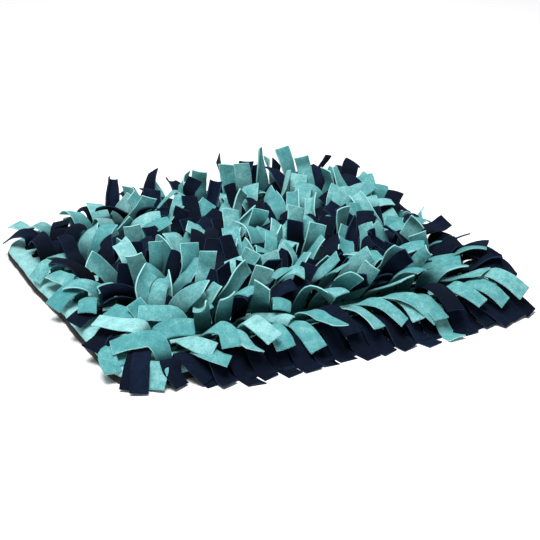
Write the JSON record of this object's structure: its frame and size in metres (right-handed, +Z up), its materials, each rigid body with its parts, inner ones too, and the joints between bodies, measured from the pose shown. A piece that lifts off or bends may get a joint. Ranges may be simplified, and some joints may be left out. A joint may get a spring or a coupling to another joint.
{
  "type": "snuffle mat",
  "caption": "Padded rectangular snuffle mat for a dog, its top densely covered in rows of cut aqua and navy fleece fringe that hangs over the front edge.",
  "frame": {"origin": "middle of the padded base on the floor, at the underside of the backing panel", "axes": "+X along the front edge to the right, +Y towards the back, +Z up"},
  "size_m": [0.489, 0.4635, 0.0841],
  "materials": {
    "non_slip_fabric": "black coated non-slip cloth, slightly grainy",
    "aqua_fleece": "soft matt brushed fleece",
    "navy_fleece": "soft matt brushed fleece"
  },
  "bodies": {
    "root": {"backing_panel": "non_slip_fabric", "fleece_pad": "aqua_fleece", "fringe_01_aqua": "aqua_fleece", "fringe_01_navy": "navy_fleece", "fringe_02_aqua": "aqua_fleece", "fringe_02_navy": "navy_fleece", "fringe_03_aqua": "aqua_fleece", "fringe_03_navy": "navy_fleece", "fringe_04_aqua": "aqua_fleece", "fringe_04_navy": "navy_fleece", "fringe_05_aqua": "aqua_fleece", "fringe_05_navy": "navy_fleece", "fringe_06_aqua": "aqua_fleece", "fringe_06_navy": "navy_fleece", "fringe_07_aqua": "aqua_fleece", "fringe_07_navy": "navy_fleece", "fringe_08_aqua": "aqua_fleece", "fringe_08_navy": "navy_fleece", "fringe_09_aqua": "aqua_fleece", "fringe_09_navy": "navy_fleece", "fringe_10_aqua": "aqua_fleece", "fringe_10_navy": "navy_fleece", "fringe_11_aqua": "aqua_fleece", "fringe_11_navy": "navy_fleece", "fringe_12_aqua": "aqua_fleece", "fringe_12_navy": "navy_fleece", "fringe_13_aqua": "aqua_fleece", "fringe_13_navy": "navy_fleece", "fringe_14_aqua": "aqua_fleece", "fringe_14_navy": "navy_fleece", "fringe_15_aqua": "aqua_fleece", "fringe_15_navy": "navy_fleece"}
  },
  "joints": []
}
